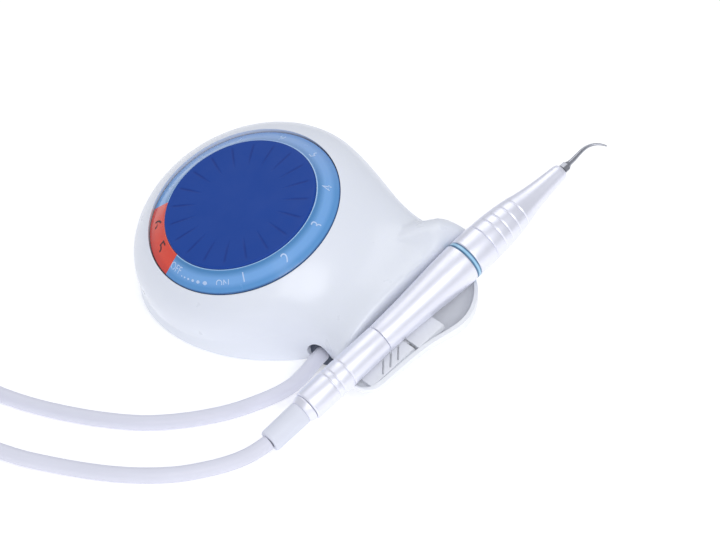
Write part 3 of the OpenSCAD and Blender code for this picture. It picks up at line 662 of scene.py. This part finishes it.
def cutter(name, verts, faces):
    mesh = bpy.data.meshes.new(name)
    mesh.from_pydata([tuple(v) for v in verts], [], faces)
    obj = bpy.data.objects.new(name, mesh)
    bpy.context.scene.collection.objects.link(obj)
    bm = bmesh.new()
    bm.from_mesh(mesh)
    bmesh.ops.recalc_face_normals(bm, faces=bm.faces)
    bm.to_mesh(mesh)
    bm.free()
    return obj


def carve(obj, cutters):
    for c in cutters:
        m = obj.modifiers.new("cut", "BOOLEAN")
        m.operation = "DIFFERENCE"
        m.object = c
        m.solver = "EXACT"
        bpy.context.view_layer.objects.active = obj
        with bpy.context.temp_override(object=obj, active_object=obj, selected_objects=[obj]):
            bpy.ops.object.modifier_apply(modifier=m.name)
        bpy.data.objects.remove(c)


def box_verts(lo, hi):
    return [(x, y, z) for x in (lo[0], hi[0]) for y in (lo[1], hi[1]) for z in (lo[2], hi[2])]


BOX_FACES = [(0, 1, 3, 2), (4, 6, 7, 5), (0, 4, 5, 1), (2, 3, 7, 6), (0, 2, 6, 4), (1, 5, 7, 3)]


def rod(start, along, length, radius, sides=48):
    path = [np.array(start) + np.array(along) * s for s in (0, length)]
    return tube(path, radius, sides)


panel_cut = cutter("c1", place(box_verts((-32.1, 40, 8.9), (20.1, 70, 27.1)), BASE), BOX_FACES)
gland_dir = np.array([math.cos(math.radians(-72)), math.sin(math.radians(-72)), 0])
v, f = rod(np.array([61.5, -8.5, 8]) - gland_dir * 14, gland_dir, 34, 6.3)
gland_cut = cutter("c2", place(v, BASE), f)
carve(housing, [panel_cut, gland_cut])
finish_mesh(housing, True, 35)

# ---------------------------------------------------------------- dial
R_RING, R_DISC = 44.15, 35.0
CONE_R, CONE_RUN, SLANT_MM = 43.7, 8.0, 9.4
ring_profile = [(R_RING - 0.4, -1.4), (R_RING, -1.0), (R_RING, -0.3), (R_RING - 0.3, 0),
                (R_DISC + 0.7, 4.9), (R_DISC + 0.1, 5.0), (R_DISC + 0.1, 3.2), (R_RING - 2.4, -1.4)]
lathe("scale_ring", ring_profile, DIAL, scale_mat, "dial", ("dial_ring",),
      segs=360, radius=0.35, sector=(263.5, 307.5))
lathe("red_sector", ring_profile, DIAL, red_mat, "dial", ("red_zone",),
      segs=360, radius=0.35, sector=(211, 52.5))


def disc_mesh():
    """Domed disc with short radial grooves pressed into its face."""
    count, steps = 720, 70
    rows = []
    angles = np.arange(count) * 2 * math.pi / count
    radii = np.linspace(0.5, 34.3, steps)
    for r in radii:
        height = 6.5 - 0.2 * (r / 26) if r < 26 else 6.3 - 0.4 * (r - 26) / 8.3
        window = np.clip((r - 19) / 3, 0, 1) * np.clip((33.2 - r) / 2, 0, 1)
        window = window * window * (3 - 2 * window)
        step = 2 * math.pi / GROOVES
        off = (angles + step / 2) % step - step / 2
        across = off * r / (0.35 + 0.25 * (r - 19) / 14)
        dent = 0.12 * window * np.exp(-across ** 2)
        rows.append(np.stack([r * np.cos(angles), r * np.sin(angles), height - dent], -1))
    for r, z in ((34.7, 5.7), (34.9, 5.4), (35.0, 5.1), (35.0, 3.2)):
        rows.append(np.stack([r * np.cos(angles), r * np.sin(angles), np.full(count, z)], -1))
    verts = np.concatenate(rows)
    faces = grid_faces(len(rows), count)
    faces += [tuple(reversed(range(count))), tuple((len(rows) - 1) * count + i for i in range(count))]
    make("dial_disc_skin", place(verts, DIAL), faces, disc_mat, "dial", ("dial_disc",),
         sharp=60)


disc_mesh()


# Printed scale: the marks lie on the ring's cone, tops towards the middle
def cone_point(azimuth, slant, lift=0.05):
    """A point on the ring's cone; slant is 0 at the outer edge and 1 at the disc."""
    r = CONE_R - CONE_RUN * slant + lift * 0.52
    w = 4.9 * slant + lift * 0.85
    a = math.radians(azimuth)
    return (r * math.cos(a), r * math.sin(a), w)


def printed(text, azimuth, height, mat, middle=0.5, squeeze=1.0, name="mark", thick=0.0):
    curve = bpy.data.curves.new(name, "FONT")
    curve.body = text
    curve.size = height * 1.4
    curve.align_x = "CENTER"
    curve.align_y = "CENTER"
    curve.offset = thick
    holder = bpy.data.objects.new(name, curve)
    bpy.context.scene.collection.objects.link(holder)
    bpy.context.view_layer.update()
    mesh = bpy.data.meshes.new_from_object(holder.evaluated_get(bpy.context.evaluated_depsgraph_get()))
    bpy.data.objects.remove(holder)
    verts = []
    for v in mesh.vertices:
        x, y = v.co.x * squeeze, v.co.y
        slant = middle + y / SLANT_MM
        r = CONE_R - CONE_RUN * slant
        verts.append(cone_point(azimuth + math.degrees(x / r), slant))
    faces = [tuple(p.vertices) for p in mesh.polygons]
    return make(name, place(verts, DIAL), faces, mat, "dial", smooth=False)


marks = [("1", 319.5), ("2", 348.5), ("3", 18), ("4", 47.5), ("5", 79), ("6", 109.5), ("7", 139), ("8", 168),
         ("9", 196)]
for text, azimuth in marks:
    printed(text, azimuth, 5.4, print_white, 0.5, 0.9, "numeral_" + text, -0.05)
printed("OFF", 268.5, 3.6, print_white, 0.52, 0.8, "mark_off")
printed("ON", 305.5, 3.4, print_white, 0.40, 0.85, "mark_on")
printed("6", 226, 6.4, print_black, 0.5, 1.1, "red_mark_6", 0.02)
printed("5", 246, 6.4, print_black, 0.5, 1.1, "red_mark_5", 0.02)


def dots():
    verts, faces = [], []
    for azimuth, size in ((275.5, 0.35), (278, 0.45), (281, 0.55), (284.5, 0.7), (288.5, 0.9), (293.5, 1.15)):
        first = len(verts)
        verts.append(cone_point(azimuth, 0.36, 0.06))
        for i in range(20):
            a = 2 * math.pi * i / 20
            turned = azimuth + math.degrees(size * math.cos(a) / 41)
            verts.append(cone_point(turned, 0.36 + size * math.sin(a) / SLANT_MM))
        faces += [(first, first + 1 + i, first + 1 + (i + 1) % 20) for i in range(20)]
    make("growing_dots", place(verts, DIAL), faces, print_white, "dial", smooth=False)


dots()

# ---------------------------------------------------------------- handpiece
JOINT, LIGHT, NOSE, NOSE_END, BARREL_R = 42.3, 92.0, 104.6, 153.6, 9.3


def hand_lathe(name, profile, mat, body, replaces, radius=0.3, segs=160):
    return lathe(name, profile, HAND, mat, body, replaces, segs, radius)


hand_lathe("boot_skin", [(2.4, -21.8), (4.7, -21.8), (5.1, -21.0), (5.3, -3.6), (2.4, -3.6)],
           boot_mat, "connector", ("hose_boot",), 0.5)
hand_lathe("collar_skin", [(2.4, -3.6), (5.3, -3.6), (6.3, -0.9), (6.3, -0.2), (2.4, 0)],
           hand_mat, "connector", ("boot_collar",), 0.3)
hand_lathe("sleeve_skin", [
    (5.2, 0), (6.4, 0), (6.9, 0.5), (7.0, 12.4), (6.7, 12.75), (6.7, 13.05), (7.0, 13.4), (7.0, 15.2),
    (6.7, 15.55), (6.7, 15.85), (7.0, 16.2), (7.0, 21.0), (6.7, 21.35), (6.7, 21.65), (6.95, 22.0),
    (6.7, JOINT - 0.35), (6.45, JOINT - 0.05), (5.2, JOINT)], hand_mat, "connector",
    ("connector_sleeve",), 0.2)
hand_lathe("barrel_skin", [
    (5.05, JOINT + 0.1), (6.4, JOINT + 0.1), (6.65, JOINT + 0.4), (6.85, 48), (7.1, 55), (7.5, 62), (7.9, 68),
    (8.3, 74), (8.7, 80), (9.0, 86), (BARREL_R - 0.1, LIGHT - 0.4), (BARREL_R - 0.35, LIGHT), (6.6, LIGHT),
    (6.6, 62), (5.05, 60)], hand_mat, "handpiece", ("barrel",), 0.2)
hand_lathe("light_band_skin", [(6.6, LIGHT), (BARREL_R - 0.35, LIGHT), (BARREL_R - 0.12, LIGHT + 0.4),
                               (BARREL_R - 0.12, LIGHT + 2.0), (BARREL_R - 0.35, LIGHT + 2.4),
                               (6.6, LIGHT + 2.4)],
           band_mat, "handpiece", ("light_ring",), 0.15)
hand_lathe("front_sleeve_skin", [
    (6.6, LIGHT + 2.4), (BARREL_R - 0.3, LIGHT + 2.4), (BARREL_R, LIGHT + 2.8), (BARREL_R, NOSE - 0.4),
    (BARREL_R - 0.35, NOSE), (6.6, NOSE)], hand_mat, "handpiece", ("front_sleeve",), 0.2)
hand_lathe("nose_skin", [
    (6.6, NOSE), (8.9, NOSE), (9.15, NOSE + 0.35), (9.0, 109.7), (8.7, 110.0), (8.7, 110.3), (8.95, 110.7),
    (8.75, 114.0), (8.4, 114.3), (8.4, 114.6), (8.6, 115.0), (8.25, 119.1), (7.9, 119.4), (7.9, 119.7),
    (8.1, 120.1), (7.5, 124.3), (7.15, 124.6), (7.15, 124.9), (7.35, 125.3), (6.5, 129), (5.75, 133),
    (5.05, 138), (4.5, 143), (4.05, 148), (3.75, 151.4), (3.4, 152.8), (2.6, NOSE_END), (1.95, NOSE_END),
    (1.95, 140), (4.2, 122), (6.6, 112)], hand_mat, "handpiece", ("nose_cap",), 0.2)

tip_route = [(0, 0, 158.3), (0, 0, 161), (-0.2, 0, 164), (-0.3, 0, 167), (0, 0, 169.5), (0.9, 0, 171.8),
             (2.4, 0, 173.8), (4.3, 0, 175.2), (5.9, 0, 175.9)]
line = catmull(tip_route, 10)
c20, s20 = math.cos(math.radians(20)), math.sin(math.radians(20))
line = line @ np.array([[c20, s20, 0], [-s20, c20, 0], [0, 0, 1]])
v, f = tube(line, np.linspace(1.15, 0.3, len(line)), 24)
make("tip_skin", place(v, HAND), f, steel, "tip", ("scaler_tip",))

# ---------------------------------------------------------------- cradle tray
TRAY0, TRAY1 = 20.5, 96.0


def tray_section(u, inset, count=40):
    bulge = math.exp(-((u - 0.72) / 0.2) ** 2)
    ends = math.sqrt(max(0.0, 1 - abs(2 * u - 1) ** (16 if u < 0.5 else 4)))
    near = -7 + (20 + 4.5 * bulge) * ends - inset
    deep = max(0.4, (7 + 3 * bulge) * ends - inset)
    mid = (near - 9.8 + inset) / 2
    half = max(0.6, (near + 9.8 - inset) / 2)
    a = np.linspace(0, math.pi, count)
    c = np.cos(a)
    across = np.where(c >= 0, np.abs(c) ** 0.35, -np.abs(c) ** 0.9)
    return mid - half * across, 6.5 + 3.2 * u + deep * np.maximum(np.sin(a), 0) ** 0.75


def tray_mesh():
    wall = 2.2
    span = TRAY1 - TRAY0
    shrink = wall / span
    rows, count = 110, 44
    outer, inner = [], []
    for k in range(rows + 1):
        u = (1 - math.cos(math.pi * k / rows)) / 2
        x, y = tray_section(u, 0, count)
        outer.append(np.stack([x, y, np.full(count, TRAY0 + u * span)], -1))
        v = shrink + u * (1 - 2 * shrink)
        x, y = tray_section(v, wall, count)
        inner.append(np.stack([x, y - 0.6, np.full(count, TRAY0 + v * span)], -1))
    for ring in outer + inner:
        # the front wall dips under the connector sleeve
        if ring[0, 2] < TRAY0 + 5:
            ring[:, 1] = np.maximum(ring[:, 1], np.sqrt(np.maximum(0, 7.45 ** 2 - ring[:, 0] ** 2)))
    loop = 2 * count
    verts = []
    for o, i in zip(outer, inner):
        # the inner skin's edge is brought level with the outer one, so the lip is flat
        i = i.copy()
        i[:, 1] = np.maximum(i[:, 1], o[0, 1])
        verts += list(o) + list(i[::-1])
    faces = grid_faces(rows + 1, loop)
    faces += [tuple(range(loop)), tuple(rows * loop + i for i in reversed(range(loop)))]
    make("cradle_tray_skin", place(verts, HAND), faces, tray_mat, "base_unit",
         ("cradle_tray",))


tray_mesh()

# ---------------------------------------------------------------- materials on the CAD nodes that stay
KEEP = {
    shell: "dial_well base_plate",
    tray_mat: "cradle_insert",
    grey_shell: "well_pillars rear_panel",
    feet_mat: "rubber_feet",
    steel: "housing_screws board_screws cradle_screws pot_shaft bushing_nut needle_stem tip_nut",
    brass: "pot_bushing flow_valve water_inlet contact_pins",
    dark: "dial_hub potentiometer power_jack footswitch_jack valve_coil capacitors coil_tie "
          "connector_core",
    gland_mat: "hose_gland",
    board_mat: "control_board",
    winding: "output_transformer",
    alloy: "heat_sink back_mass horn",
    valve_mat: "water_valve",
    clear_mat: "water_tubes",
    ceramic: "piezo_stack",
    seal_mat: "horn_seal plug_seals",
    disc_mat: "water_knob",
}
for mat, names in KEEP.items():
    for name in names.split():
        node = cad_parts[name]
        node.data.materials.clear()
        node.data.materials.append(mat.mat)

# ---------------------------------------------------------------- studio
floor_mat = Mat("floor_paper", (0.92, 0.92, 0.93), 0.9)
floor_mat.mottle(BASE, 0.004, 0.2, 0.99)
floor_mat.shader.inputs["Emission Color"].default_value = (1, 1, 1, 1)
floor_mat.shader.inputs["Emission Strength"].default_value = 0.3
mesh = bpy.data.meshes.new("floor")
mesh.from_pydata([(-6, -6, 0), (6, -6, 0), (6, 6, 0), (-6, 6, 0)], [], [(0, 1, 2, 3)])
floor = bpy.data.objects.new("floor", mesh)
bpy.context.scene.collection.objects.link(floor)
mesh.materials.append(floor_mat.mat)

world = bpy.data.worlds.new("studio")
bpy.context.scene.world = world
world.use_nodes = True
world.node_tree.nodes["Background"].inputs[0].default_value = (0.93, 0.95, 1.0, 1)
world.node_tree.nodes["Background"].inputs[1].default_value = 0.55
bpy.context.scene.view_settings.view_transform = "Standard"


def area(name, azimuth, elevation, distance, size, power):
    data = bpy.data.lights.new(name, "AREA")
    data.shape = "RECTANGLE"
    data.size, data.size_y = size
    data.energy = power
    obj = bpy.data.objects.new(name, data)
    bpy.context.scene.collection.objects.link(obj)
    away = Vector(look(azimuth, elevation))
    obj.location = target + away * distance
    obj.rotation_mode = "QUATERNION"
    obj.rotation_quaternion = (-away).to_track_quat("-Z", "Y")
    return obj


area("key", 62, 40, 1.5, (0.9, 0.9), 8.5)
area("top", 250, 62, 1.4, (1.0, 1.0), 4)
